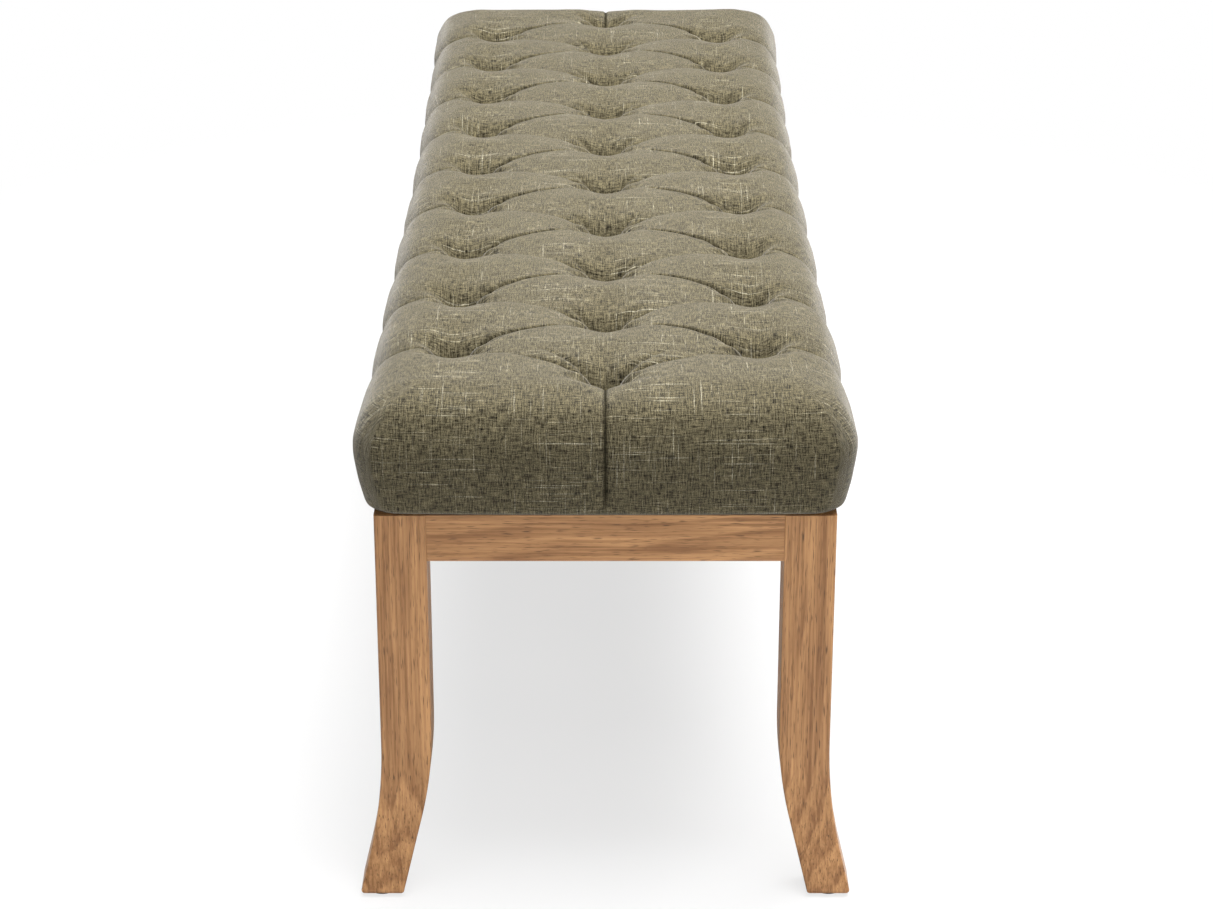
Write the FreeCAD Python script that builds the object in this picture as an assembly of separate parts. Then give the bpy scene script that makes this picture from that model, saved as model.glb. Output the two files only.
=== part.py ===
import FreeCAD, Part
import os
from math import cos, radians, sin, sqrt, tan

# A long upholstered bench: a tufted seat that is screwed onto a wooden frame with four curved legs.
# X runs along the bench, Y across it, +Z is up, and the origin is on the floor under the middle.
# All sizes are in millimetres.

Vector = FreeCAD.Vector

# Wooden frame
frame_length = 1456.0
frame_depth = 420.0
frame_top = 386.0
leg_width = 47.5
rail_height = 46.0
rail_thickness = 22.0
rail_setback = 1.0
rail_edge_round = 1.5

# Leg curve: both outer faces and both inner faces bend outwards, then run straight to the foot
outer_curve_start = 150.0
outer_curve_radius = 470.0
inner_curve_start = 165.0
inner_curve_radius = 370.0
foot_flare = 14.0
leg_edge_round = 2.0
foot_edge_round = 4.0

# Feet
glide_diameter = 29.0
glide_thickness = 2.5
glide_bevel = 0.8
nail_diameter = 2.0
nail_head_diameter = 5.0
nail_head_thickness = 0.8
nail_length = 16.0

# Cross rails and corner blocks
cross_rail_count = 3
cross_rail_spacing = 390.0
cross_rail_thickness = 22.0
cross_rail_height = 40.0
block_thickness = 22.0
block_height = 40.0
leg_corner_cut = 8.0
screw_row_spacing = 20.0

# Dowels
dowel_diameter = 8.0
leg_dowel_length = 40.0
cross_dowel_length = 32.0
dowel_row_spacing = 22.0

# Leg bolts
bolt_diameter = 8.0
bolt_depth_in_leg = 30.0
bolt_free_end = 5.0
bolt_clearance = 0.5
washer_diameter = 24.0
washer_thickness = 2.0
nut_across_flats = 13.0
nut_height = 6.5

# Screws
screw_diameter = 4.0
screw_head_diameter = 8.0
screw_head_height = 2.6
screw_point = 4.0
pocket_clearance = 0.5
block_screw_pocket = 3.0
block_screw_bite = 14.0
seat_screw_bite = 9.0
seat_screw_pocket = 18.0
seat_screw_row = 100.0
seat_screw_shift = 16.0

# Seat outline, with its widest level and its draw-in between the corners
seat_length = 1484.0
seat_depth = 455.0
seat_corner_radius = 30.0
side_draw_in = 7.0
end_bulge = 3.0

# Seat edge, as heights above the underside and insets from the widest outline
edge_levels = [(0.0, 16.0), (7.0, 8.5), (33.0, 3.5), (65.0, 0.0), (84.5, 6.5), (97.5, 15.0), (104.5, 25.0),
               (109.5, 40.0), (113.5, 68.0)]
widest_level = 65.0

# Tufts: a middle row, and a row each side that stands half a pitch off it
tuft_count = 10
tuft_pitch = 144.0
tuft_row_offset = 143.0
seat_height = 500.0
pleat_drop = 12.0
pleat_half_width = 52.0
side_pleat_drop = 9.0
seam_drop = 3.0
seam_half_width = 30.0
channel_roundness = 2.6
channel_overcut = 1.5
tuft_depth = 37.0
pit_floor_radius = 5.0
pit_neck_radius = 11.0
pit_neck_height = 19.0
pit_flare = 40.0
relief_margin = 15.0
crease_width = 22.0
crease_top_depth = 4.5
crease_foot_depth = 1.5
seam_width = 8.0

# Seat layers
cover_thickness = 1.5
wadding_thickness = 6.0
board_thickness = 12.0
board_gap = 0.5
hem_width = 27.0
dust_cover_thickness = 0.5
dust_cover_overlap = 7.0
board_corner_radius = 20.0

# Tufting twine and staples
twine_diameter = 3.0
twine_tail_length = 18.0
twine_tail_thickness = 1.0
foam_hole_diameter = 16.0
board_hole_diameter = 8.0
staple_wire = 0.5
staple_width = 1.0
staple_crown = 10.0
staple_depth = 8.0
hem_staple_inset = 15.0
hem_staple_pitch = 60.0
dust_staples_per_bay = 3
dust_staple_inset = 3.5

# Places worked out from the sizes above
half_length = frame_length / 2
half_depth = frame_depth / 2
leg_inner_x = half_length - leg_width
leg_inner_y = half_depth - leg_width
rail_inner_x = half_length - rail_setback - rail_thickness
rail_inner_y = half_depth - rail_setback - rail_thickness
rail_mid_x = rail_inner_x + rail_thickness / 2
rail_mid_y = rail_inner_y + rail_thickness / 2
rail_mid_z = frame_top - rail_height / 2
block_mid_z = frame_top - block_height / 2
block_outer_sum = leg_inner_x + leg_inner_y + leg_corner_cut
block_inner_sum = block_outer_sum - block_thickness * sqrt(2)
seat_underside = frame_top + dust_cover_thickness
board_bottom = seat_underside + cover_thickness
board_top = board_bottom + board_thickness
foam_depth = cover_thickness + wadding_thickness
board_inset = edge_levels[0][1] + cover_thickness + wadding_thickness + board_gap
board_half_length = seat_length / 2 - end_bulge - board_inset
board_half_depth = seat_depth / 2 - side_draw_in - board_inset
hem_half_length = board_half_length - hem_width
hem_half_depth = board_half_depth - hem_width
first_tuft = -(tuft_count - 1) / 2 * tuft_pitch
tuft_floor = seat_height - tuft_depth
cross_rail_places = [(i - (cross_rail_count - 1) / 2) * cross_rail_spacing for i in range(cross_rail_count)]
corner_signs = {"front_left": (1, 1), "front_right": (1, -1), "rear_left": (-1, 1), "rear_right": (-1, -1)}
nodes = {}


def box(low, high):
    size = high - low
    return Part.makeBox(size.x, size.y, size.z, low)


def cylinder(start, axis, diameter, length):
    return Part.makeCylinder(diameter / 2, length, start, axis)


def line(a, b):
    return Part.LineSegment(a, b).toShape()


def arc(a, middle, b):
    return Part.Arc(a, middle, b).toShape()


def at_corner(shape, signs):
    # Mirrors a shape built at the corner where X and Y are positive to another corner.
    placed = shape.copy()
    if signs[0] < 0:
        placed = placed.mirror(Vector(0, 0, 0), Vector(1, 0, 0))
    if signs[1] < 0:
        placed = placed.mirror(Vector(0, 0, 0), Vector(0, 1, 0))
    return placed


def at_every_corner(shapes):
    return [at_corner(shape, signs) for signs in corner_signs.values() for shape in shapes]


# Legs

def flared_side(face_place, curve_start, curve_radius):
    # Gives the top, the two ends and the middle of the arc, and the foot of one side of a leg.
    bend = radians(foot_flare)

    def arc_point(angle):
        return face_place + curve_radius * (1 - cos(angle)), curve_start - curve_radius * sin(angle)

    arc_end = arc_point(bend)
    foot = (arc_end[0] + (arc_end[1] - glide_thickness) * tan(bend), glide_thickness)
    return (face_place, frame_top), arc_point(0), arc_point(bend / 2), arc_end, foot


def leg_profile(outer_place, to_vector):
    outer = [to_vector(p) for p in flared_side(outer_place, outer_curve_start, outer_curve_radius)]
    inner = [to_vector(p) for p in flared_side(outer_place - leg_width, inner_curve_start, inner_curve_radius)]
    edges = [line(outer[0], outer[1]), arc(outer[1], outer[2], outer[3]), line(outer[3], outer[4]),
             line(outer[4], inner[4]), line(inner[4], inner[3]), arc(inner[3], inner[2], inner[1]),
             line(inner[1], inner[0]), line(inner[0], outer[0])]
    return Part.Face(Part.Wire(edges))


def foot_middle(outer_place):
    outer = flared_side(outer_place, outer_curve_start, outer_curve_radius)[-1][0]
    inner = flared_side(outer_place - leg_width, inner_curve_start, inner_curve_radius)[-1][0]
    return (outer + inner) / 2


def is_long_edge(edge):
    heights = [edge.BoundBox.ZMin, edge.BoundBox.ZMax]
    return heights[1] - heights[0] > leg_edge_round * 4


def is_foot_edge(edge):
    return edge.BoundBox.ZMax < glide_thickness + 0.01


def corner_cut():
    # The wedge that takes the inner top corner off a leg, where its corner block bears.
    reach = leg_corner_cut * 2
    corner = Vector(leg_inner_x, leg_inner_y, frame_top - rail_height)
    outline = [corner + Vector(leg_corner_cut, 0, 0), corner + Vector(0, leg_corner_cut, 0),
               corner + Vector(-reach, leg_corner_cut, 0), corner + Vector(-reach, -reach, 0),
               corner + Vector(leg_corner_cut, -reach, 0)]
    face = Part.Face(Part.makePolygon(outline + [outline[0]]))
    return face.extrude(Vector(0, 0, rail_height + 1))


def leg():
    reach = half_length + half_depth
    along = leg_profile(half_length, lambda p: Vector(p[0], 0, p[1])).extrude(Vector(0, reach, 0))
    across = leg_profile(half_depth, lambda p: Vector(0, p[0], p[1])).extrude(Vector(reach * 2, 0, 0))
    solid = along.common(across)
    solid = solid.makeFillet(foot_edge_round, [e for e in solid.Edges if is_foot_edge(e)])
    solid = solid.makeFillet(leg_edge_round, [e for e in solid.Edges if is_long_edge(e)])
    return solid.cut(corner_cut())


# Fasteners and dowels

def screw(point, axis, length):
    # A countersunk wood screw whose head lies at the point and whose tip lies along the axis.
    head = Part.makeCone(screw_head_diameter / 2, screw_diameter / 2, screw_head_height, point, axis)
    shank = cylinder(point, axis, screw_diameter, length - screw_point)
    tip_start = point + axis * (length - screw_point)
    tip = Part.makeCone(screw_diameter / 2, 0.0, screw_point, tip_start, axis)
    return head.fuse([shank, tip]).removeSplitter()


def screw_pocket(point, axis, depth):
    return cylinder(point - axis * depth, axis, screw_head_diameter + pocket_clearance, depth)


def leg_dowels():
    # The dowels of one corner: two in the end rail and two in the side rail.
    solids = []
    for side in (-0.5, 0.5):
        z = rail_mid_z + side * dowel_row_spacing
        end_start = Vector(rail_mid_x, leg_inner_y - leg_dowel_length / 2, z)
        side_start = Vector(leg_inner_x - leg_dowel_length / 2, rail_mid_y, z)
        solids.append(cylinder(end_start, Vector(0, 1, 0), dowel_diameter, leg_dowel_length))
        solids.append(cylinder(side_start, Vector(1, 0, 0), dowel_diameter, leg_dowel_length))
    return solids


def cross_rail_dowels():
    solids = []
    for x in cross_rail_places:
        for y_sign in (-1, 1):
            for side in (-0.5, 0.5):
                z = block_mid_z + side * screw_row_spacing
                start = Vector(x, y_sign * rail_inner_y - cross_dowel_length / 2, z)
                solids.append(cylinder(start, Vector(0, 1, 0), dowel_diameter, cross_dowel_length))
    return solids


diagonal = Vector(1, 1, 0) / sqrt(2)
block_face_mid = Vector(leg_inner_x + leg_corner_cut / 2, leg_inner_y + leg_corner_cut / 2, block_mid_z)


def leg_bolt():
    length = bolt_depth_in_leg + block_thickness + washer_thickness + nut_height + bolt_free_end
    return cylinder(block_face_mid + diagonal * bolt_depth_in_leg, -diagonal, bolt_diameter, length)


def bolt_hole_in_block():
    start = block_face_mid + diagonal
    return cylinder(start, -diagonal, bolt_diameter + bolt_clearance * 2, block_thickness + 2)


def bolt_washer():
    start = block_face_mid - diagonal * block_thickness
    disc = cylinder(start, -diagonal, washer_diameter, washer_thickness)
    return disc.cut(cylinder(start, -diagonal, bolt_diameter + bolt_clearance, washer_thickness))


def bolt_nut():
    corners = [Vector(nut_across_flats / sqrt(3) * cos(radians(60 * i)),
                      nut_across_flats / sqrt(3) * sin(radians(60 * i)), 0) for i in range(6)]
    blank = Part.Face(Part.makePolygon(corners + [corners[0]])).extrude(Vector(0, 0, nut_height))
    blank = blank.cut(cylinder(Vector(0, 0, 0), Vector(0, 0, 1), bolt_diameter, nut_height))
    seat = block_face_mid - diagonal * (block_thickness + washer_thickness)
    blank.Placement = FreeCAD.Placement(seat, FreeCAD.Rotation(Vector(0, 0, 1), -diagonal))
    return blank


def block_screw_places():
    # Head points and directions of one block's screws: two into the end rail, two into the side rail.
    places = []
    mid_sum = (block_outer_sum + block_inner_sum) / 2
    for side in (-0.5, 0.5):
        z = block_mid_z + side * screw_row_spacing
        y = mid_sum - rail_inner_x
        places.append((Vector(block_inner_sum - y + block_screw_pocket, y, z), Vector(1, 0, 0), rail_inner_x))
        x = mid_sum - rail_inner_y
        places.append((Vector(x, block_inner_sum - x + block_screw_pocket, z), Vector(0, 1, 0), rail_inner_y))
    return places


def block_screws():
    solids = []
    for point, axis, rail_face in block_screw_places():
        length = rail_face - point.dot(axis) + block_screw_bite
        solids.append(screw(point, axis, length))
    return solids


def block_screw_pockets():
    depth = block_thickness
    return [screw_pocket(point, axis, depth) for point, axis, rail_face in block_screw_places()]


def seat_screw_points():
    # Head points of the screws that hold the seat board down, at the corners and along the cross rails.
    mid = block_face_mid - diagonal * (block_thickness / 2)
    along_block = Vector(1, -1, 0) / sqrt(2)
    corner = mid + along_block * seat_screw_shift
    z = frame_top - block_height + seat_screw_pocket
    points = [Vector(sx * corner.x, sy * corner.y, z) for sx, sy in corner_signs.values()]
    z = frame_top - cross_rail_height + seat_screw_pocket
    points += [Vector(x, y, z) for x in cross_rail_places for y in (-seat_screw_row, seat_screw_row)]
    return points


def seat_screws():
    up = Vector(0, 0, 1)
    return [screw(p, up, board_bottom + seat_screw_bite - p.z) for p in seat_screw_points()]


def seat_screw_pockets():
    return [screw_pocket(p, Vector(0, 0, 1), seat_screw_pocket) for p in seat_screw_points()]


# Rails and blocks

def rounded_rail(low, high, along):
    # A rail whose two lower long edges are eased.
    solid = box(low, high)

    def is_lower_long_edge(edge):
        bounds = edge.BoundBox
        return bounds.ZMax < low.z + 0.01 and (bounds.XLength if along == "x" else bounds.YLength) > 1

    return solid.makeFillet(rail_edge_round, [e for e in solid.Edges if is_lower_long_edge(e)])


def end_rail():
    low = Vector(rail_inner_x, -leg_inner_y, frame_top - rail_height)
    high = Vector(rail_inner_x + rail_thickness, leg_inner_y, frame_top)
    return rounded_rail(low, high, "y")


def side_rail():
    low = Vector(-leg_inner_x, rail_inner_y, frame_top - rail_height)
    high = Vector(leg_inner_x, rail_inner_y + rail_thickness, frame_top)
    return rounded_rail(low, high, "x")


def cross_rail(x):
    low = Vector(x - cross_rail_thickness / 2, -rail_inner_y, frame_top - cross_rail_height)
    high = Vector(x + cross_rail_thickness / 2, rail_inner_y, frame_top)
    return rounded_rail(low, high, "y")


def corner_block():
    z = frame_top - block_height
    outline = [Vector(rail_inner_x, block_outer_sum - rail_inner_x, z),
               Vector(block_outer_sum - rail_inner_y, rail_inner_y, z),
               Vector(block_inner_sum - rail_inner_y, rail_inner_y, z),
               Vector(rail_inner_x, block_inner_sum - rail_inner_x, z)]
    return Part.Face(Part.makePolygon(outline + [outline[0]])).extrude(Vector(0, 0, block_height))


# Feet

def foot_centre():
    return Vector(foot_middle(half_length), foot_middle(half_depth), 0)


def glide_nail():
    up = Vector(0, 0, 1)
    start = foot_centre() + up * (glide_thickness - nail_head_thickness - glide_bevel)
    head = cylinder(start, up, nail_head_diameter, nail_head_thickness)
    return head.fuse(cylinder(start, up, nail_diameter, nail_length)).removeSplitter()


def glide():
    up = Vector(0, 0, 1)
    solid = cylinder(foot_centre(), up, glide_diameter, glide_thickness)
    rim = [e for e in solid.Edges if e.BoundBox.ZMax < 0.01]
    solid = solid.makeChamfer(glide_bevel, rim)
    recess = cylinder(foot_centre(), up, nail_head_diameter, glide_thickness - nail_head_thickness - glide_bevel)
    return solid.cut([recess, glide_nail()])


# Seat cushion: an outline that is lofted upwards, cut off by a tufted top

def seat_outline(inset, z):
    x_end = seat_length / 2 - end_bulge - inset
    y_side = seat_depth / 2 - inset
    r = seat_corner_radius
    edges = []
    for sx, sy in ((1, 1), (-1, 1), (-1, -1), (1, -1)):
        turn = sx * sy
        centre = Vector(sx * (x_end - r), sy * (y_side - r), z)
        on_end = centre + Vector(sx * r, 0, 0)
        on_side = centre + Vector(0, sy * r, 0)
        middle = centre + Vector(sx * r, sy * r, 0) / sqrt(2)
        start, stop = (on_end, on_side) if turn > 0 else (on_side, on_end)
        edges.append(arc(start, middle, stop))
        if turn > 0:
            far = Vector(-stop.x, stop.y, z)
            edges.append(arc(stop, Vector(0, sy * (y_side - side_draw_in), z), far))
        else:
            far = Vector(stop.x, -stop.y, z)
            edges.append(arc(stop, Vector(sx * (x_end + end_bulge), 0, z), far))
    return Part.Wire(edges)


def seat_body(depth):
    # The seat without its tufts, with every face moved inwards by the depth.
    wires = []
    for height, inset in edge_levels:
        shift = depth if height < widest_level else -depth if height > widest_level else 0
        wires.append(seat_outline(inset + depth, seat_underside + height + shift))
    return Part.makeLoft(wires, True, False)


def tuft_places():
    middle = [Vector(first_tuft + i * tuft_pitch, 0, 0) for i in range(tuft_count)]
    sides = [Vector(first_tuft + (i + 0.5) * tuft_pitch, side * tuft_row_offset, 0)
             for side in (-1, 1) for i in range(tuft_count - 1)]
    return middle + sides


def tuft_pits(depth):
    # The flared pits that the twine pulls into the top.
    up = Vector(0, 0, 1)
    neck_z = tuft_floor + pit_neck_height - depth
    mouth_height = seat_height + relief_margin - neck_z
    mouth_radius = pit_neck_radius + depth + mouth_height * tan(radians(90 - pit_flare))
    pits = []
    for place in tuft_places():
        floor = place + up * (tuft_floor - depth)
        neck = place + up * neck_z
        throat = Part.makeCone(pit_floor_radius + depth, pit_neck_radius + depth, pit_neck_height, floor, up)
        mouth = Part.makeCone(pit_neck_radius + depth, mouth_radius, mouth_height, neck, up)
        pits.append(throat.fuse(mouth))
    return pits


def channel(start, stop, start_drop, stop_drop, half_width, depth):
    # A pleat pressed into the top between two places: two rounded flanks that meet in a sharp valley.
    run = stop - start
    across = Vector(-run.y, run.x, 0).normalize()
    bottom = start + Vector(0, 0, seat_height - depth - start_drop)
    rim_height = Vector(0, 0, start_drop + channel_overcut)
    left = bottom - across * half_width + rim_height
    right = bottom + across * half_width + rim_height
    bulge = Vector(0, 0, channel_roundness)
    section = [arc(left, (left + bottom) / 2 + bulge, bottom), arc(bottom, (bottom + right) / 2 + bulge, right),
               line(right, left)]
    return Part.Face(Part.Wire(section)).extrude(run + Vector(0, 0, start_drop - stop_drop))


def pleats(depth):
    # The diamond pleats between the rows, the side pleats over the long edges and the seams over the ends.
    tools = []
    outer_y = seat_depth / 2 + relief_margin
    end_x = seat_length / 2 + relief_margin
    for i in range(tuft_count - 1):
        for side in (-1, 1):
            side_tuft = Vector(first_tuft + (i + 0.5) * tuft_pitch, side * tuft_row_offset, 0)
            for j in (i, i + 1):
                middle_tuft = Vector(first_tuft + j * tuft_pitch, 0, 0)
                tools.append(channel(middle_tuft, side_tuft, pleat_drop, pleat_drop, pleat_half_width, depth))
            edge = Vector(side_tuft.x, side * outer_y, 0)
            tools.append(channel(side_tuft, edge, pleat_drop, side_pleat_drop, pleat_half_width, depth))
    for end in (-1, 1):
        last_tuft = Vector(-end * first_tuft, 0, 0)
        edge = Vector(end * end_x, 0, 0)
        tools.append(channel(last_tuft, edge, pleat_drop, seam_drop, seam_half_width, depth))
    return tools


def crease(point, inward, width, top_depth, foot_depth, depth):
    # An upright wedge that presses a pleat or a seam into the edge of the seat.
    across = Vector(-inward.y, inward.x, 0)
    wires = []
    for z, bite in ((seat_underside + 2, foot_depth), (seat_height + 5, top_depth)):
        base = Vector(point.x, point.y, z) + inward * depth
        back = base - inward * 20
        corners = [base + inward * bite, base + across * width / 2, back + across * width,
                   back - across * width, base - across * width / 2]
        wires.append(Part.makePolygon(corners + [corners[0]]))
    return Part.makeLoft(wires, True, True)


def side_width(x):
    # Half the widest outline's depth at a place along the seat.
    straight = seat_length / 2 - end_bulge - seat_corner_radius
    return seat_depth / 2 - side_draw_in * (1 - (x / straight) ** 2)


def creases(depth):
    wedges = []
    for place in tuft_places():
        if place.y:
            side = 1 if place.y > 0 else -1
            point = Vector(place.x, side * side_width(place.x), 0)
            wedges.append(crease(point, Vector(0, -side, 0), crease_width, crease_top_depth,
                                 crease_foot_depth, depth))
    for end in (-1, 1):
        point = Vector(end * seat_length / 2, 0, 0)
        wedges.append(crease(point, Vector(-end, 0, 0), seam_width, crease_foot_depth,
                             crease_foot_depth, depth))
    return wedges


def cushion_form(depth, creased):
    return seat_body(depth).cut(pleats(depth) + tuft_pits(depth) + (creases(depth) if creased else []))


def rounded_plate(half_x, half_y, low_z, high_z, radius):
    solid = box(Vector(-half_x, -half_y, low_z), Vector(half_x, half_y, high_z))
    upright = [e for e in solid.Edges if e.BoundBox.ZLength > (high_z - low_z) / 2]
    return solid.makeFillet(radius, upright)


# Twine and staples

def twine_holes(diameter, low_z, high_z):
    up = Vector(0, 0, 1)
    return [cylinder(p + up * low_z, up, diameter, high_z - low_z) for p in tuft_places()]


def twines():
    # Each twine hangs from the cover at a tuft, runs down through the board and turns flat under it.
    up = Vector(0, 0, 1)
    top = tuft_floor - cover_thickness
    solids = []
    for p in tuft_places():
        low = board_bottom - twine_tail_thickness
        strand = cylinder(p + up * low, up, twine_diameter, top - low)
        tail = box(p + Vector(0, -twine_diameter / 2, low),
                   p + Vector(twine_tail_length, twine_diameter / 2, board_bottom))
        solids.append(strand.fuse(tail).removeSplitter())
    return solids


def staple(centre, along_x):
    # A wire staple whose crown's upper face lies at the centre and whose legs point up.
    half = staple_crown / 2
    crown = box(Vector(-half, -staple_width / 2, -staple_wire), Vector(half, staple_width / 2, 0))
    legs = [box(Vector(x, -staple_width / 2, -staple_wire), Vector(x + staple_wire, staple_width / 2, staple_depth))
            for x in (-half, half - staple_wire)]
    solid = crown.fuse(legs).removeSplitter()
    if not along_x:
        solid.rotate(Vector(0, 0, 0), Vector(0, 0, 1), 90)
    solid.translate(centre)
    return solid


def twine_staples():
    z = board_bottom - twine_tail_thickness
    return [staple(p + Vector(twine_tail_length * 0.6, 0, z), False) for p in tuft_places()]


def spread(reach, pitch):
    count = max(2, round(2 * reach / pitch) + 1)
    return [-reach + 2 * reach * i / (count - 1) for i in range(count)]


def hem_staples():
    x_line = board_half_length - hem_staple_inset
    y_line = board_half_depth - hem_staple_inset
    z = seat_underside
    long_sides = [staple(Vector(x, side * y_line, z), True)
                  for side in (-1, 1) for x in spread(x_line - staple_crown * 2, hem_staple_pitch)]
    ends = [staple(Vector(side * x_line, y, z), False)
            for side in (-1, 1) for y in spread(y_line - staple_crown * 2, hem_staple_pitch)]
    return long_sides + ends


def dust_cover_size():
    return hem_half_length + dust_cover_overlap, hem_half_depth + dust_cover_overlap


def dust_cover_staples():
    # Small staples between the cross rails and across the ends, clear of rails and corner blocks.
    half_x, half_y = dust_cover_size()
    bay_ends = [-leg_inner_x + block_thickness * 3] + cross_rail_places + [leg_inner_x - block_thickness * 3]
    solids = []
    for low, high in zip(bay_ends[:-1], bay_ends[1:]):
        for i in range(dust_staples_per_bay):
            x = low + (high - low) * (i + 1) / (dust_staples_per_bay + 1)
            for side in (-1, 1):
                solids.append(staple(Vector(x, side * (half_y - dust_staple_inset), frame_top), True))
    for y in (-seat_screw_row / 2, 0, seat_screw_row / 2):
        for side in (-1, 1):
            solids.append(staple(Vector(side * (half_x - dust_staple_inset), y, frame_top), False))
    return solids


# Building the nodes

dowel_solids = at_every_corner(leg_dowels())
cross_dowel_solids = cross_rail_dowels()
bolt_solids = at_every_corner([leg_bolt()])
block_screw_solids = at_every_corner(block_screws())
seat_screw_solids = seat_screws()
seat_pockets = seat_screw_pockets()
nail_solids = at_every_corner([glide_nail()])
twine_solids = twines()
twine_staple_solids = twine_staples()
hem_staple_solids = hem_staples()
dust_staple_solids = dust_cover_staples()

plain_leg = leg()
plain_block = corner_block().cut([bolt_hole_in_block()] + block_screw_pockets())
for name, signs in corner_signs.items():
    nodes["leg_" + name] = at_corner(plain_leg, signs).cut(dowel_solids + bolt_solids + nail_solids)
    nodes["corner_block_" + name] = at_corner(plain_block, signs).cut(
        block_screw_solids + seat_screw_solids + seat_pockets)
    nodes["foot_glide_" + name] = at_corner(glide(), signs)

for name, sign in (("front", 1), ("rear", -1)):
    rail = at_corner(end_rail(), (sign, 1))
    nodes["end_rail_" + name] = rail.cut(dowel_solids + block_screw_solids)
for name, sign in (("left", 1), ("right", -1)):
    rail = at_corner(side_rail(), (1, sign))
    nodes["side_rail_" + name] = rail.cut(dowel_solids + block_screw_solids + cross_dowel_solids)
for i, x in enumerate(cross_rail_places):
    nodes["cross_rail_%d" % (i + 1)] = cross_rail(x).cut(cross_dowel_solids + seat_screw_solids + seat_pockets)

cover_inside = cushion_form(cover_thickness, True)
hem_opening = rounded_plate(hem_half_length, hem_half_depth, seat_underside - 1, board_bottom + 1,
                            board_corner_radius)
nodes["tufted_cover"] = cushion_form(0.0, True).cut([cover_inside, hem_opening] + hem_staple_solids
                                                    + dust_staple_solids)

above_board = box(Vector(-seat_length, -seat_depth, board_top), Vector(seat_length, seat_depth, seat_height))
foam = cushion_form(foam_depth, False).common(above_board)
board_space = rounded_plate(board_half_length + board_gap, board_half_depth + board_gap,
                            seat_underside, board_top, board_corner_radius)
nodes["wadding"] = cover_inside.cut([foam, board_space] + twine_holes(twine_diameter, board_top, seat_height))
nodes["foam_core"] = foam.cut(twine_holes(foam_hole_diameter, board_top - 1, seat_height))

board = rounded_plate(board_half_length, board_half_depth, board_bottom, board_top, board_corner_radius)
board_cuts = twine_holes(board_hole_diameter, board_bottom - 1, board_top + 1)
nodes["seat_board"] = board.cut(board_cuts + seat_screw_solids + hem_staple_solids + dust_staple_solids
                                + twine_staple_solids)

dust_half_x, dust_half_y = dust_cover_size()
dust_cover = rounded_plate(dust_half_x, dust_half_y, frame_top, seat_underside, board_corner_radius)
nodes["dust_cover"] = dust_cover.cut(seat_screw_solids + dust_staple_solids)

nodes["rail_dowels"] = Part.makeCompound(dowel_solids)
nodes["cross_rail_dowels"] = Part.makeCompound(cross_dowel_solids)
nodes["leg_bolts"] = Part.makeCompound(bolt_solids)
nodes["bolt_washers"] = Part.makeCompound(at_every_corner([bolt_washer()]))
nodes["bolt_nuts"] = Part.makeCompound(at_every_corner([bolt_nut()]))
nodes["block_screws"] = Part.makeCompound(block_screw_solids)
nodes["seat_screws"] = Part.makeCompound(seat_screw_solids)
nodes["glide_nails"] = Part.makeCompound(nail_solids)
nodes["tufting_twine"] = Part.makeCompound(twine_solids)
nodes["twine_staples"] = Part.makeCompound(twine_staple_solids)
nodes["hem_staples"] = Part.makeCompound(hem_staple_solids)
nodes["dust_cover_staples"] = Part.makeCompound(dust_staple_solids)

os.makedirs("parts", exist_ok=True)
for name, shape in nodes.items():
    shape.exportStep("parts/" + name + ".step")
    print(name, "solids", len(shape.Solids), "valid", shape.isValid(), "volume", round(shape.Volume))
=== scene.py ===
"""The looks of a long upholstered bench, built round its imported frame.

Every size is in metres, in the frame's own axes: +X along the bench towards the end that the
camera sees, +Y to the right of the picture, +Z up, with the floor at zero.
"""

import logging
import math
from dataclasses import dataclass, field
from enum import Enum
from typing import Protocol

import bmesh
import bpy
import numpy as np
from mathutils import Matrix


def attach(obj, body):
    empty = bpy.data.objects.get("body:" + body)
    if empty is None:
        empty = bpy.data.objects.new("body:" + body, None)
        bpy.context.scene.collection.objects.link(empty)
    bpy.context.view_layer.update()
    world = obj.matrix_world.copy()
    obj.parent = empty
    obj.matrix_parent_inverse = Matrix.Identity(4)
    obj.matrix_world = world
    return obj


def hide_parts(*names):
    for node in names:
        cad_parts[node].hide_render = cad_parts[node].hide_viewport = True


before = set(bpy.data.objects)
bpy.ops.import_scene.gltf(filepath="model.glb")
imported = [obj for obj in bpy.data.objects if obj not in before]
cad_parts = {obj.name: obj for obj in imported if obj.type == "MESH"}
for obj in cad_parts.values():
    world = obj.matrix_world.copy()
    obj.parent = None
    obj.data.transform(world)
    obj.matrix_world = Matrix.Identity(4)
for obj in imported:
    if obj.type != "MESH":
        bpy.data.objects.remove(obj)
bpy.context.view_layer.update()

log = logging.getLogger("bench")
MM = 0.001
ROOT = "root"
Colour = tuple[float, float, float]
Socket = bpy.types.NodeSocket
Input = Socket | float | tuple


class Axis(Enum):
    """An axis of the frame that a grain or a brushed finish runs along."""

    X = 0
    Y = 1
    Z = 2


class Layer(Enum):
    """The three soft layers of the seat, from the outside in."""

    COVER = "cover"
    WADDING = "wadding"
    FOAM = "foam"


# Numbers


def ease(low: float, high: float, value: np.ndarray) -> np.ndarray:
    """Rises smoothly from 0 at low to 1 at high.

    Args:
        low: Where the rise starts.
        high: Where the rise ends.
        value: The values to ease.

    Returns:
        An array of the same shape, from 0 to 1.
    """
    t = np.clip((value - low) / (high - low), 0.0, 1.0)
    return t * t * (3.0 - 2.0 * t)


def ridge(distance: np.ndarray, width: float) -> np.ndarray:
    """A smooth ridge of height 1 at distance 0 that dies away over the width."""
    return np.exp(-((distance / width) ** 2))


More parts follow.
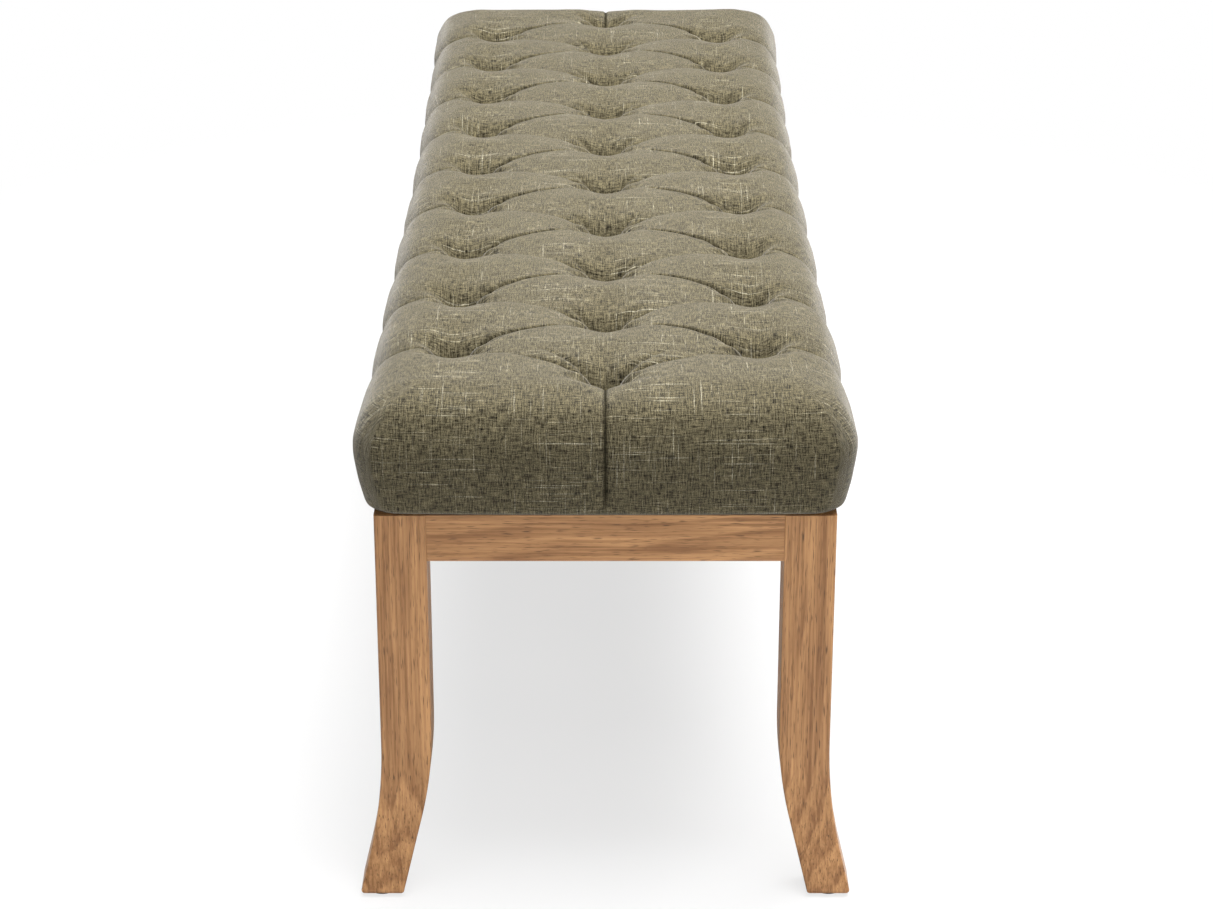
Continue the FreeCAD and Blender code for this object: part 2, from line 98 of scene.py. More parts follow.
class SoftNoise:
    """Smooth seeded noise on a plane, from -1 to 1."""

    def __init__(self, seed: int, size: int = 64) -> None:
        """Draws the noise's values.

        Args:
            seed: The seed of the draw.
            size: Values along each side before the noise repeats.
        """
        self.size = size
        self.values = np.random.default_rng(seed).uniform(-1.0, 1.0, (size, size))

    def __call__(self, x: np.ndarray, y: np.ndarray, scale: float) -> np.ndarray:
        """Reads the noise at points.

        Args:
            x: First coordinates.
            y: Second coordinates.
            scale: The distance from one drawn value to the next.

        Returns:
            The noise at each point.
        """
        x, y = x / scale, y / scale
        column, row = np.floor(x).astype(int), np.floor(y).astype(int)
        fx, fy = ease(0.0, 1.0, x - column), ease(0.0, 1.0, y - row)
        low = self._between(column, row, fx)
        high = self._between(column, row + 1, fx)
        return low * (1.0 - fy) + high * fy

    def _between(self, column: np.ndarray, row: np.ndarray, fx: np.ndarray) -> np.ndarray:
        """Blends two neighbouring values of one row."""
        n = self.size
        left = self.values[row % n, column % n]
        right = self.values[row % n, (column + 1) % n]
        return left * (1.0 - fx) + right * fx


# Scene data


def placed(name: str, data: bpy.types.ID) -> bpy.types.Object:
    """Adds an object with its data to the scene."""
    made = bpy.data.objects.new(name, data)
    bpy.context.scene.collection.objects.link(made)
    return made


def mesh_of(name: str, bm: bmesh.types.BMesh) -> bpy.types.Mesh:
    """Turns a drafted form into a mesh, and frees the draft."""
    mesh = bpy.data.meshes.new(name)
    bm.to_mesh(mesh)
    bm.free()
    return mesh


# Materials


class Finish(Protocol):
    """Anything that makes a material."""

    def build(self) -> bpy.types.Material:
        """Makes the material."""


class Shader:
    """A material whose nodes are written as short calls that return sockets."""

    def __init__(self, name: str) -> None:
        """Starts an empty material with its Principled shader and output.

        Args:
            name: The material's name.
        """
        self.material = bpy.data.materials.new(name)
        self.material.use_nodes = True
        self.tree = self.material.node_tree
        self.tree.nodes.clear()
        self.surface = self.tree.nodes.new("ShaderNodeBsdfPrincipled")
        output = self.tree.nodes.new("ShaderNodeOutputMaterial")
        self.tree.links.new(self.surface.outputs[0], output.inputs["Surface"])

    def set(self, **values: Input) -> None:
        """Sets or links the Principled shader's sockets, named with underscores for spaces."""
        for name, value in values.items():
            self._feed(self.surface.inputs[name.replace("_", " ")], value)

    def node(self, kind: str, inputs: dict | None = None,
             **settings: str | bool) -> bpy.types.Node:
        """Adds a node.

        Args:
            kind: The node's type, without the ShaderNode prefix.
            inputs: Values or sockets for its inputs, by name or number.
            **settings: Attributes of the node, set first.

        Returns:
            The new node.
        """
        made = self.tree.nodes.new("ShaderNode" + kind)
        for name, value in settings.items():
            setattr(made, name, value)
        for key, value in (inputs or {}).items():
            self._feed(made.inputs[key], value)
        return made

    def _feed(self, socket: Socket, value: Input) -> None:
        """Links a socket to another or sets its value."""
        if isinstance(value, Socket):
            self.tree.links.new(value, socket)
        elif isinstance(value, tuple) and len(value) == 3 and socket.type == "RGBA":
            socket.default_value = (*value, 1.0)
        else:
            socket.default_value = value

    def math(self, operation: str, a: Input, b: Input = 0.0, clamp: bool = False) -> Socket:
        """A Math node's result on two values or sockets."""
        made = self.node("Math", {0: a, 1: b}, operation=operation, use_clamp=clamp)
        return made.outputs[0]

    def length(self, a: Input, b: Input) -> Socket:
        """The length of a vector in a plane, from its two parts."""
        parts = (self.math("POWER", self.math("ABSOLUTE", part), 2.0) for part in (a, b))
        return self.math("SQRT", self.math("ADD", *parts))

    def span(self, value: Input, low: float, high: float, to: tuple = (0.0, 1.0)) -> Socket:
        """Maps a value from low..high to the range to, held at its ends."""
        made = self.node("MapRange", {"Value": value, "From Min": low, "From Max": high,
                                      "To Min": to[0], "To Max": to[1]})
        return made.outputs["Result"]

    def blend(self, factor: Input, a: Input, b: Input, mode: str = "MIX") -> Socket:
        """Mixes two colours."""
        made = self.node("Mix", data_type="RGBA", blend_type=mode, clamp_factor=True)
        self._feed(made.inputs["Factor"], factor)
        colours = [socket for socket in made.inputs if socket.type == "RGBA"]
        for socket, value in zip(colours, (a, b)):
            self._feed(socket, value)
        return next(s for s in made.outputs if s.type == "RGBA")

    def coordinates(self, scale: tuple = (1.0, 1.0, 1.0), turn: tuple = (0.0, 0.0, 0.0),
                    shift: tuple = (0.0, 0.0, 0.0), source: Socket | None = None) -> Socket:
        """Object coordinates, or another source, scaled, turned and shifted."""
        if source is None:
            source = self.node("TexCoord").outputs["Object"]
        made = self.node("Mapping", {"Vector": source, "Scale": scale, "Rotation": turn,
                                     "Location": shift})
        return made.outputs[0]

    def noise(self, vector: Socket, scale: float = 1.0, detail: float = 2.0,
              roughness: float = 0.5, distortion: float = 0.0) -> Socket:
        """A Noise Texture's value."""
        made = self.node("TexNoise", {"Vector": vector, "Scale": scale, "Detail": detail,
                                      "Roughness": roughness, "Distortion": distortion})
        return made.outputs["Fac"]

    def bump(self, height: Socket, distance: float, strength: float = 1.0) -> None:
        """Feeds the shader's normal from a height."""
        made = self.node("Bump", {"Height": height, "Distance": distance, "Strength": strength})
        self.set(Normal=made.outputs[0])


@dataclass(frozen=True)
class LinenFinish:
    """Linen-like plain weave with slubs.

    Attributes:
        name: The material's name.
        colour: The cloth's own colour.
        slub: The colour of the thicker, lighter threads.
        sheen_tint: The colour of the fibres' sheen.
        sheen: The weight of the sheen.
        thread: The distance from thread to thread.
    """

    name: str = "taupe_linen"
    colour: Colour = (0.076, 0.065, 0.038)
    slub: Colour = (0.25, 0.23, 0.17)
    sheen_tint: Colour = (1.0, 0.96, 0.90)
    sheen: float = 0.3
    thread: float = 0.9 * MM

    def build(self) -> bpy.types.Material:
        """Makes the material on the piece's Cloth map and its attribute of painted shade, which
        darkens the cloth to near black and takes away its sheen in the slits, seams, creases and
        tuft pits.
        """
        s = Shader(self.name)
        cloth = s.node("UVMap", uv_map="Cloth").outputs[0]
        warp = s.noise(s.coordinates((110.0, 820.0, 1.0), source=cloth), 1.0, 2.0, 0.6)
        weft = s.noise(s.coordinates((820.0, 95.0, 1.0), source=cloth), 1.0, 2.0, 0.6)
        warp_slub = s.noise(s.coordinates((15.0, 620.0, 1.0), source=cloth), 1.0, 1.0, 0.4)
        weft_slub = s.noise(s.coordinates((640.0, 11.0, 1.0), source=cloth), 1.0, 1.0, 0.4)
        cloud = s.noise(s.coordinates(source=cloth), 34.0, 3.0, 0.6)
        knots = s.noise(s.coordinates(source=cloth), 1000.0, 1.0, 0.4)
        # Painted shade: the attribute read here marks the slits, seams, creases and tuft pits,
        # where shade falls.
        fold_and_painted_shade = s.node("Attribute", attribute_name="fold_and_painted_shade").outputs["Fac"]
        slubs = s.math("ADD", s.span(warp_slub, 0.66, 0.78, (0.0, 0.7)),
                       s.span(weft_slub, 0.65, 0.77, (0.0, 0.85)), clamp=True)
        hatch = s.math("ADD", s.span(warp, 0.35, 0.65, (0.35, 1.42)),
                       s.span(weft, 0.35, 0.65, (-0.46, 0.50)))
        tone = s.math("MULTIPLY", s.math("MULTIPLY", hatch, s.span(knots, 0.33, 0.67, (0.6, 1.4))),
                      s.span(cloud, 0.3, 0.7, (0.92, 1.08)))
        dyed = s.blend(slubs, self.colour, self.slub)
        toned = s.blend(1.0, dyed, s.node("CombineColor", {0: tone, 1: tone, 2: tone}).outputs[0],
                        "MULTIPLY")
        # Painted shade: the base colour goes to near black where the attribute marks shade.
        s.set(Base_Color=s.blend(fold_and_painted_shade, toned, (0.003, 0.0025, 0.0015)))
        s.bump(self._weave(s, cloth, warp, weft), 0.35 * MM, 0.55)
        # The sheen is taken away where shade is painted, so the painted shade stays dark.
        lit = s.math("MULTIPLY", s.math("SUBTRACT", 1.0, fold_and_painted_shade, clamp=True), self.sheen)
        s.set(Roughness=0.92, Sheen_Weight=lit, Sheen_Roughness=0.45,
              Sheen_Tint=(*self.sheen_tint, 1.0), Specular_IOR_Level=0.0)
        return s.material

    def _weave(self, s: Shader, cloth: Socket, warp: Socket, weft: Socket) -> Socket:
        """The height of the woven threads, over and under by turns.

        Args:
            s: The material being made.
            cloth: The cloth coordinates.
            warp: Noise along the lengthwise threads.
            weft: Noise along the crosswise threads.

        Returns:
            The socket of the height.
        """
        apart = s.node("SeparateXYZ", {0: cloth})
        rate = math.pi / self.thread
        along = s.math("ABSOLUTE", s.math("SINE", s.math("MULTIPLY", apart.outputs[0], rate)))
        across = s.math("ABSOLUTE", s.math("SINE", s.math("MULTIPLY", apart.outputs[1], rate)))
        over = s.node("TexChecker", {"Vector": cloth, "Scale": 1.0 / self.thread}).outputs["Fac"]
        threads = s.math("ADD", s.math("MULTIPLY", along, over),
                         s.math("MULTIPLY", across, s.math("SUBTRACT", 1.0, over)))
        uneven = s.math("ADD", warp, weft)
        return s.math("ADD", s.math("MULTIPLY", threads, 0.5), uneven)


@dataclass(frozen=True)
class WoodFinish:
    """Lacquered or bare wood with rings, streaks and pores along its grain.

    Attributes:
        name: The material's name.
        light: The colour of the early wood.
        dark: The colour of the late wood.
        pore: The colour of the pores.
        grain: The axis that the grain runs along.
        tilt: The slope of the rings to the grain, in degrees, which opens the figure.
        shift: The place of the heart of the tree, from the frame's origin.
        rings: Rings in a metre.
        roughness: The roughness of the surface.
        coat: The weight of the clear lacquer.
    """

    name: str
    light: Colour
    dark: Colour
    pore: Colour
    grain: Axis
    tilt: float = 2.0
    shift: tuple = (0.31, 0.17, 0.09)
    rings: float = 120.0
    roughness: float = 0.42
    coat: float = 0.05

    def build(self) -> bpy.types.Material:
        """Makes the material on Object coordinates."""
        s = Shader(self.name)
        turn = [0.0, 0.0, 0.0]
        turn[(self.grain.value + 1) % 3] = math.radians(self.tilt)
        bent = s.noise(s.coordinates(self._drawn(22.0, 3.0)), 1.0, 2.0, 0.5)
        place = s.coordinates((1.0, 1.0, 1.0), tuple(turn), self.shift)
        apart = s.node("SeparateXYZ", {0: place})
        sides = [apart.outputs[i] for i in range(3) if i != self.grain.value]
        heart = s.length(*sides)
        wavy = s.math("ADD", heart, s.math("MULTIPLY", bent, 0.020))
        ring = s.math("FRACT", s.math("MULTIPLY", wavy, self.rings))
        late = s.math("MULTIPLY", s.span(ring, 0.15, 0.85), s.span(ring, 1.0, 0.88))
        streak = s.noise(s.coordinates(self._drawn(420.0, 9.0)), 1.0, 4.0, 0.62)
        broad = s.noise(s.coordinates(self._drawn(60.0, 3.5)), 1.0, 2.0, 0.5)
        pores = s.span(s.noise(s.coordinates(self._drawn(1150.0, 62.0)), 1.0, 1.0, 0.5),
                       0.60, 0.72)
        tone = s.math("ADD", s.math("MULTIPLY", late, 0.42),
                      s.math("ADD", s.span(streak, 0.30, 0.70, (-0.22, 0.72)),
                             s.span(broad, 0.3, 0.7, (-0.12, 0.34))), clamp=True)
        body = s.blend(tone, self.light, self.dark)
        s.set(Base_Color=s.blend(s.math("MULTIPLY", pores, 0.85), body, self.pore))
        s.set(Roughness=s.span(streak, 0.3, 0.7, (self.roughness - 0.06, self.roughness + 0.08)),
              Coat_Weight=self.coat, Coat_Roughness=0.3, Specular_IOR_Level=0.3)
        s.bump(s.math("SUBTRACT", s.math("MULTIPLY", streak, 0.4), pores), 0.12 * MM, 0.35)
        return s.material

    def _drawn(self, across: float, along: float) -> tuple:
        """Texture scales that draw a pattern out along the grain."""
        scales = [across, across, across]
        scales[self.grain.value] = along
        return tuple(scales)


@dataclass(frozen=True)
class PlyFinish:
    """Bare plywood, with its plies on the edge.

    Attributes:
        name: The material's name.
        light: The colour of the face plies.
        dark: The colour of the cross plies.
        ply: The thickness of one ply.
    """

    name: str = "bare_plywood"
    light: Colour = (0.55, 0.39, 0.23)
    dark: Colour = (0.36, 0.22, 0.11)
    ply: float = 2.4 * MM

    def build(self) -> bpy.types.Material:
        """Makes the material on Object coordinates."""
        s = Shader(self.name)
        place = s.coordinates()
        height = s.node("SeparateXYZ", {0: place}).outputs[2]
        layer = s.math("FRACT", s.math("DIVIDE", height, 2.0 * self.ply))
        grain = s.noise(s.coordinates((9.0, 260.0, 90.0)), 1.0, 3.0, 0.6)
        mixed = s.math("ADD", s.math("MULTIPLY", s.math("GREATER_THAN", layer, 0.5), 0.35),
                       s.span(grain, 0.3, 0.7, (0.0, 0.5)))
        s.set(Base_Color=s.blend(mixed, self.light, self.dark), Roughness=0.7)
        s.bump(grain, 0.15 * MM, 0.4)
        return s.material


@dataclass(frozen=True)
class MetalFinish:
    """Plated steel with fine handling marks.

    Attributes:
        name: The material's name.
        colour: The colour of the plating.
        roughness: The roughness between the marks.
    """

    name: str
    colour: Colour
    roughness: float = 0.32

    def build(self) -> bpy.types.Material:
        """Makes the material on Object coordinates."""
        s = Shader(self.name)
        marks = s.noise(s.coordinates(), 900.0, 3.0, 0.6)
        cloud = s.noise(s.coordinates(), 120.0, 2.0, 0.5)
        dull = tuple(0.72 * c for c in self.colour)
        s.set(Base_Color=s.blend(s.span(cloud, 0.35, 0.7), self.colour, dull), Metallic=1.0,
              Roughness=s.span(marks, 0.3, 0.7, (self.roughness - 0.08, self.roughness + 0.14)))
        s.bump(marks, 0.04 * MM, 0.3)
        return s.material


@dataclass(frozen=True)
class MattFinish:
    """A matt surface with a fine grain, such as moulded plastic, foam or wadding.

    Attributes:
        name: The material's name.
        colour: The colour of the surface.
        grain: Grains in a metre.
        depth: The height of the grain.
        roughness: The roughness of the surface.
        sheen: The weight of a fibrous sheen.
    """

    name: str
    colour: Colour
    grain: float = 1500.0
    depth: float = 0.06 * MM
    roughness: float = 0.55
    sheen: float = 0.0

    def build(self) -> bpy.types.Material:
        """Makes the material on Object coordinates."""
        s = Shader(self.name)
        grain = s.noise(s.coordinates(), self.grain, 3.0, 0.6)
        cloud = s.noise(s.coordinates(), self.grain / 22.0, 2.0, 0.5)
        deep = tuple(0.7 * c for c in self.colour)
        s.set(Base_Color=s.blend(s.span(cloud, 0.3, 0.7, (0.0, 0.6)), self.colour, deep),
              Roughness=self.roughness, Sheen_Weight=self.sheen, Sheen_Roughness=0.5)
        s.bump(grain, self.depth, 0.6)
        return s.material


@dataclass(frozen=True)
class TwineFinish:
    """Waxed twine, with its twist.

    Attributes:
        name: The material's name.
        light: The colour on the strands.
        dark: The colour between them.
    """

    name: str = "waxed_twine"
    light: Colour = (0.60, 0.50, 0.34)
    dark: Colour = (0.33, 0.26, 0.16)

    def build(self) -> bpy.types.Material:
        """Makes the material on Object coordinates."""
        s = Shader(self.name)
        twist = s.node("TexWave", {"Vector": s.coordinates((1.0, 1.0, 0.6), (0.6, 0.0, 0.0)),
                                   "Scale": 160.0, "Distortion": 0.6, "Detail": 1.0},
                       bands_direction="DIAGONAL").outputs["Fac"]
        fibre = s.noise(s.coordinates(), 2600.0, 2.0, 0.6)
        s.set(Base_Color=s.blend(s.math("MULTIPLY", twist, fibre), self.dark, self.light),
              Roughness=0.7, Sheen_Weight=0.2)
        s.bump(twist, 0.2 * MM, 0.5)
        return s.material


# The seat


@dataclass
class SeatOutline:
    """The plan and the edge profile of the padded seat.

    Attributes:
        half_length: From the middle to the end, at the corners.
        half_depth: From the middle to the long side, at the corners.
        underside: The height of the seat's underside.
        corner: The radius of the corners in plan.
        draw_in: How far the long sides are drawn in at their middle.
        bulge: How far the ends stand out at their middle.
        levels: Height over the underside and inset of the edge, from the top down.
        rim_zone: How far from a corner the edge's points start to spread round it.
    """

    half_length: float = 0.739
    half_depth: float = 0.2275
    underside: float = 0.3865
    corner: float = 0.032
    draw_in: float = 0.007
    bulge: float = 0.003
    levels: tuple = ((113.5, 66.0), (112.4, 52.0), (109.2, 39.0), (104.3, 25.5), (97.3, 15.2),
                     (84.5, 6.6), (65.0, 0.0), (33.0, 2.8), (11.0, 6.9), (3.0, 9.4), (0.0, 14.5))
    rim_zone: float = 0.060

    def profile(self, step: float, shrink: float) -> np.ndarray:
        """Samples the edge's profile at even steps.

        Args:
            step: The distance between samples.
            shrink: How far the whole profile is moved inwards.

        Returns:
            A row for each sample: inset, height, outward and upward part of the normal, and the
            distance along the profile.
        """
        knots = np.array(self.levels)[:, ::-1] * MM
        before, after = 2 * knots[0] - knots[1], 2 * knots[-1] - knots[-2]
        before[1], after[1] = knots[0][1], 0.0
        padded = np.vstack([before, knots, after])
        fine = []
        for i in range(1, len(padded) - 2):
            t = np.linspace(0.0, 1.0, 40, endpoint=False)[:, None]
            a, b, c, d = padded[i - 1:i + 3]
            fine.append(0.5 * (2 * b + (c - a) * t + (2 * a - 5 * b + 4 * c - d) * t ** 2
                               + (3 * b - a - 3 * c + d) * t ** 3))
        curve = np.vstack([*fine, padded[-2:-1]])
        along = np.concatenate([[0.0], np.cumsum(np.hypot(*np.diff(curve, axis=0).T))])
        places = np.linspace(0.0, along[-1], max(int(along[-1] / step), 6) + 1)
        inset, height = (np.interp(places, along, curve[:, k]) for k in (0, 1))
        run, rise = np.gradient(inset, places), np.gradient(height, places)
        size = np.hypot(run, rise)
        out, up = -rise / size, -run / size
        return np.column_stack([inset + shrink * out, height - shrink * up, out, up, places])

    def walk(self, start: np.ndarray, limit: float, straight: np.ndarray,
             radius: np.ndarray) -> tuple[np.ndarray, np.ndarray, np.ndarray]:
        """Spreads the points of one side of the top's edge along a ring's side and corner.

        Args:
            start: The points' places along the edge of the flat top, from its middle.
            limit: The place of the corner on the edge of the flat top.
            straight: The length of the ring's straight side, from its middle.
            radius: The ring's corner radius.

        Returns:
            The distance along the ring, the place along the straight side, and the turn into
            the corner.
        """
        zone = self.rim_zone
        into = np.clip((start - limit + zone) / zone, 0.0, 1.0)
        whole = straight - limit + zone + radius * math.pi / 4
        spread = limit - zone + zone * into + (whole - zone) * into ** 2
        along = np.where(start < limit - zone, start, spread)
        turn = np.clip((along - straight) / radius, 0.0, math.pi / 4)
        return along, np.minimum(along, straight), turn


@dataclass
class Tufting:
    """The places and the depths of the blind diamond tufts.

    Attributes:
        half_pitch: Half the distance from tuft to tuft along a row.
        row: The distance from the middle row to a side row.
        last: The place of the last tuft of the middle row.
        pleat_fall: How far a pillow falls to a tuft, without the tuft's own pit.
        fullness: How flat the pillows are, where 2 is a plain arch.
        edge_fall: How far the pleats between the side pillows fall over the seat's edge.
        edge_fullness: How much flatter the side pillows are over the seat's edge.
        pit_fall: How far a tuft's own pit goes down.
        pit_radius: The radius of a tuft's pit towards the middle of a pillow.
        pit_reach: How much wider the pit is along a pleat.
        channel_fall: How far the dent goes down that runs from a tuft into both its pillows.
        channel_length: How far that dent runs.
        channel_width: Its width at the tuft.
        channel_spread: How fast it widens away from the tuft.
        channel_slope: How it rises along its run, where 1 is a straight ramp.
        slit_depth: The depth of the slits between overlapping pillows.
        bow: How far the pleats bow backwards between rows.
    """

    half_pitch: float = 0.072
    row: float = 0.143
    last: float = 0.648
    pleat_fall: float = 11.5 * MM
    fullness: float = 2.3
    edge_fall: float = 8.5 * MM
    edge_fullness: float = 0.9
    pit_fall: float = 20.0 * MM
    pit_radius: float = 13.5 * MM
    pit_reach: float = 14.0 * MM
    channel_fall: float = 12.0 * MM
    channel_length: float = 68.0 * MM
    channel_width: float = 13.0 * MM
    channel_spread: float = 0.22
    channel_slope: float = 1.15
    slit_depth: float = 10.0 * MM
    bow: float = 3.0 * MM
    noise: SoftNoise = field(default_factory=lambda: SoftNoise(7))
    detail: SoftNoise = field(default_factory=lambda: SoftNoise(19))

    @property
    def across(self) -> float:
        """The distance from one pleat to the next that runs the same way."""
        return 2 * self.half_pitch * self.row / math.hypot(self.half_pitch, self.row)

    def lattice(self, u: np.ndarray, v: np.ndarray) -> tuple[np.ndarray, np.ndarray]:
        """Coordinates in which every tuft is at whole numbers and pleats run along them."""
        along, side = (u - self.half_pitch) / self.half_pitch, v / self.row
        return (along + side) / 2, (along - side) / 2

    def pillows(self, u: np.ndarray, v: np.ndarray) -> np.ndarray:
        """How far the pillows fall below the crown.

        Args:
            u: Cloth coordinate along the bench.
            v: Cloth coordinate across the bench.

        Returns:
            The fall at each point.
        """
        au, av = np.abs(u), np.abs(v)
        last = (self.last / self.half_pitch - 1) / 2
        a, b = self.lattice(au, av)
        ta = np.where(a > last, np.minimum(a - last, 0.5), np.abs(a - np.round(a)))
        tb = np.where(b > last, 0.0, np.abs(b - np.round(b)))
        ga, gb = (np.clip(1 - 2 * t, 0, 1) ** self.fullness for t in (ta, tb))
        inner = np.where(a > last, ga * (1 + gb), ga + gb) / 2 * self.pleat_fall
        side_last = self.last - self.half_pitch
        w = np.abs(au - 2 * self.half_pitch * np.round(au / (2 * self.half_pitch)))
        beyond = au > side_last
        w = np.where(beyond, np.minimum(au - side_last, self.half_pitch), w) / self.half_pitch
        past = av - self.row
        power = self.fullness + self.edge_fullness * ease(0.0, 50 * MM, past)
        arch = np.clip(1 - w, 0, 1) ** power
        arch = arch * np.where(beyond, (1 + arch) / 2, 1.0)
        reach = 1 - 0.9 * ease(75 * MM, 165 * MM, past)
        fall = self.edge_fall * reach + (self.pleat_fall - self.edge_fall) * ridge(past, 20 * MM)
        return np.where(av > self.row, arch * fall, inner)

    def pits(self, u: np.ndarray, v: np.ndarray, inward: float) -> np.ndarray:
        """How far the tufts pull the surface down, over the pillows' own fall.

        Args:
            u: Cloth coordinate along the bench.
            v: Cloth coordinate across the bench.
            inward: How far the layer is inside the cover, which widens its pits.

        Returns:
            The fall at each point.
        """
        r, angle = self.nearest(u, v)
        a, b = self.lattice(np.abs(u), np.abs(v))
        a, b = (a - np.round(a)) ** 2, (b - np.round(b)) ** 2
        along_pleat = np.abs(a - b) / np.maximum(a + b, 1e-9)
        reach = self.pit_radius + self.pit_reach * along_pleat ** 2 + 0.8 * inward
        ahead = np.abs(r * np.cos(angle))
        along = np.clip(1 - ahead / self.channel_length, 0, 1)
        width = self.channel_width + self.channel_spread * ahead + 0.8 * inward
        channel = along ** self.channel_slope * ridge(r * np.sin(angle), width)
        return self.pit_fall * ridge(r, reach) + self.channel_fall * channel

    def nearest(self, u: np.ndarray, v: np.ndarray) -> tuple[np.ndarray, np.ndarray]:
        """The distance to the nearest tuft, and the direction from it, as an angle."""
        au, av, pitch = np.abs(u), np.abs(v), 2 * self.half_pitch
        middle = self.half_pitch + pitch * np.round((au - self.half_pitch) / pitch)
        middle = au - np.minimum(middle, self.last)
        side = au - np.minimum(pitch * np.round(au / pitch), self.last - self.half_pitch)
        in_middle = np.hypot(middle, av) < np.hypot(side, av - self.row)
        du, dv = np.where(in_middle, middle, side), np.where(in_middle, av, av - self.row)
        return np.hypot(du, dv), np.arctan2(dv, du)

    def slits(self, u: np.ndarray, v: np.ndarray) -> tuple[np.ndarray, np.ndarray]:
        """Places points against the pleats that run from a side tuft back to the middle row.

        Args:
            u: Cloth coordinate along the bench.
            v: Cloth coordinate across the bench.

        Returns:
            The distance from the nearest such pleat, positive towards +X, and how far along it
            the point is, from 0 at the side tuft to 1 at the middle row, or -1 where there is
            none.
        """
        a, b = self.lattice(u, np.abs(v))
        pleat = np.round(b)
        first = -(self.last / self.half_pitch + 1) / 2
        real = (pleat >= first) & (pleat <= -first - 2) & (np.abs(v) <= self.row)
        return (b - pleat) * self.across, np.where(real, 1 - (a - pleat), -1.0)

    def soft_pleats(self, u: np.ndarray, v: np.ndarray) -> tuple[np.ndarray, np.ndarray]:
        """Places points against the pleats that run from a middle tuft back to a side row.

        Args:
            u: Cloth coordinate along the bench.
            v: Cloth coordinate across the bench.

        Returns:
            The distance from the nearest such pleat, positive towards +X, and how far along it
            the point is, from 0 at the middle row to 1 at the side tuft, or -1 where there is
            none.
        """
        a, b = self.lattice(u, np.abs(v))
        pleat = np.round(a)
        last = (self.last / self.half_pitch - 1) / 2
        real = (pleat >= -last) & (pleat <= last) & (np.abs(v) <= self.row)
        return (a - pleat) * self.across, np.where(real, pleat - b, -1.0)

    def creases(self, u: np.ndarray, v: np.ndarray) -> tuple[np.ndarray, np.ndarray]:
        """The slits, folds and seams of the cover.

        Args:
            u: Cloth coordinate along the bench.
            v: Cloth coordinate across the bench.

        Returns:
            How far they fall, and how much shade is painted into them, from 0 to 1.
        """
        d, s = self.slits(u, v)
        open_part = ease(0.09, 0.17, s) * (1 - ease(0.52, 0.74, s))
        away = np.abs(d + 1.5 * MM)
        groove = (1 - ease(1.4 * MM, 3.8 * MM, away)) * open_part
        raised = ease(0.10, 0.30, s) * (1 - ease(0.66, 0.95, s))
        lip = np.where(d < 0, 2.8 * MM * np.exp(-np.abs(d) / 16e-3), 0.0) * raised
        near_lift = np.where(d > 0, 3.0 * MM * np.exp(-np.abs(d) / 22e-3), 0.0) * raised
        side_fold = 1.0 * MM + 8.5 * MM * (1 - np.clip(s / 0.48, 0, 1))
        second = ridge(d - side_fold, 1.9 * MM) * ease(0.06, 0.16, s) * (1 - ease(0.28, 0.46, s))
        fall = self.slit_depth * groove + 1.5 * MM * second - lip - near_lift
        # Painted shade: the slits are painted dark, and the second crease beside them lightly.
        shade = 0.8 * (1 - ease(2.2 * MM, 3.8 * MM, away)) * open_part + 0.18 * second

        d, s = self.soft_pleats(u, v)
        length = np.where(u > self.last - self.half_pitch, 1.55, 1.0)
        near_tuft = ease(0.06, 0.12, s) * (1 - ease(0.20 * length, 0.40 * length, s))
        first = ridge(d, 1.3 * MM) * near_tuft
        turned = ridge(d + 0.19 * s * 0.160 + 1.0 * MM, 1.9 * MM) * near_tuft
        near_side = ridge(d, 1.5 * MM) * ease(0.62, 0.80, s) * (1 - ease(0.90, 0.95, s))
        fall += (2.4 * first + 1.9 * turned + 1.6 * near_side) * MM * length
        # Painted shade along the soft pleats near the tufts and near the side.
        shade += 0.42 * first + 0.25 * turned + 0.25 * near_side

        au, av = np.abs(u), np.abs(v)
        side = np.abs(u - 2 * self.half_pitch * np.round(u / (2 * self.half_pitch)))
        past = av - self.row
        run = ease(0.006, 0.016, past) * (1 - ease(0.06, 0.125, past))
        run *= au < self.last
        fold_and_painted_shade = ridge(side, 1.7 * MM) * run
        seam = ridge(av, 0.95 * MM) * ease(0.012, 0.020, au - self.last)
        valley = np.exp(-av / 0.014) * ease(0.010, 0.035, au - self.last)
        fall += 1.3 * MM * fold_and_painted_shade + 1.5 * MM * seam + 2.0 * MM * valley
        # Painted shade along the side folds and, darker, in the end seams.
        shade += 0.22 * fold_and_painted_shade + 0.85 * seam
        return fall, np.clip(shade, 0.0, 1.0)

    def texture(self, u: np.ndarray, v: np.ndarray) -> np.ndarray:
        """Small unevenness of the stuffing and gathers round the tufts."""
        r, angle = self.nearest(u, v)
        ring = ease(0.007, 0.014, r) * (1 - ease(0.016, 0.036, r))
        gathers = 0.42 * np.sin(15 * angle + 3 * self.noise(u, v, 0.11)) * ring
        soft = (1.1 * self.noise(u, v, 0.085) + 0.5 * self.noise(v, u, 0.034)
                + 0.13 * self.detail(u, v, 0.011))
        return (gathers + soft) * MM


